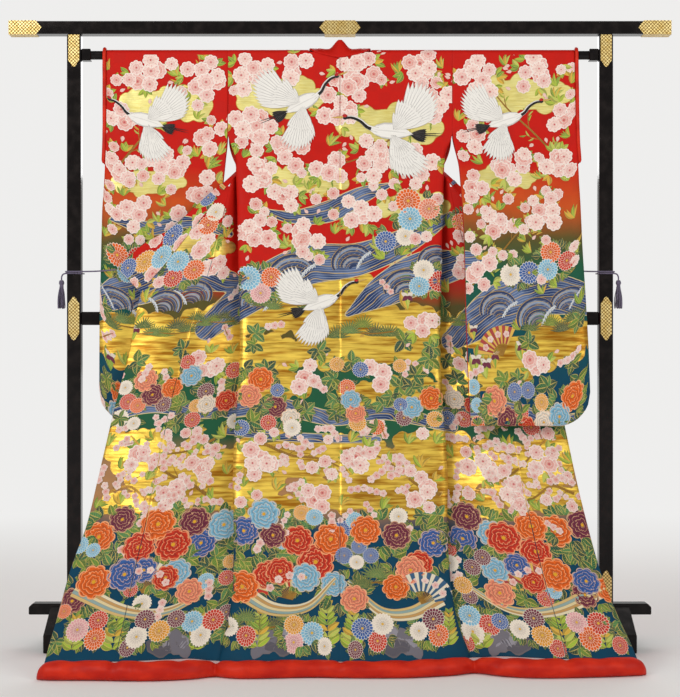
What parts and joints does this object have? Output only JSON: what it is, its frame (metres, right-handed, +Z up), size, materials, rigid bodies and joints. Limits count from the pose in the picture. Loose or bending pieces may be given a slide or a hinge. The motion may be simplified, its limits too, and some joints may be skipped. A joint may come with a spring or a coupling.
{
  "type": "uchikake wedding kimono on a kimono rack",
  "caption": "Long wedding kimono hung by its sleeves and shoulders on the pole of a lacquered rack, with fronts and train drawn out over a padded hem roll.",
  "frame": {"origin": "centre of the footprint box on the floor, under the kimono and rack", "axes": "+Z up from the floor, +X to the right when facing the kimono's back, -Y out of the kimono's back towards the viewer, +Y to the rack's rear side"},
  "size_m": [1.803, 0.7192, 1.7015],
  "materials": {
    "black_lacquer": "polished black lacquer",
    "engraved_brass": "engraved, soft sheen",
    "red_ground_brocade": "satin ground with embroidery and gold thread",
    "gold_and_teal_brocade": "satin ground with embroidery and gold thread",
    "red_silk_roll": "plain red silk, padded",
    "purple_cord": "braided silk"
  },
  "bodies": {
    "root": {"top_beam": "black_lacquer", "beam_cap_left": "engraved_brass", "beam_cap_right": "engraved_brass", "beam_centre_band": "engraved_brass", "post_left": "black_lacquer", "post_right": "black_lacquer", "middle_rail": "black_lacquer", "bottom_rail": "black_lacquer", "kimono_pole": "black_lacquer", "pole_socket_left": "black_lacquer", "pole_socket_right": "black_lacquer", "foot_left": "black_lacquer", "foot_right": "black_lacquer", "post_strap_top_left": "engraved_brass", "post_strap_middle_left": "engraved_brass", "post_strap_low_left": "engraved_brass", "post_strap_top_right": "engraved_brass", "post_strap_middle_right": "engraved_brass", "post_strap_low_right": "engraved_brass", "back_left": "red_ground_brocade", "front_left": "red_ground_brocade", "okumi_left": "gold_and_teal_brocade", "sleeve_left": "red_ground_brocade", "cuff_roll_left": "red_silk_roll", "back_right": "red_ground_brocade", "front_right": "red_ground_brocade", "okumi_right": "gold_and_teal_brocade", "sleeve_right": "red_ground_brocade", "cuff_roll_right": "red_silk_roll", "collar": "red_ground_brocade", "padded_hem": "red_silk_roll", "tie_cord_left": "purple_cord", "tassel_left": "purple_cord", "tie_cord_right": "purple_cord", "tassel_right": "purple_cord"}
  },
  "joints": []
}
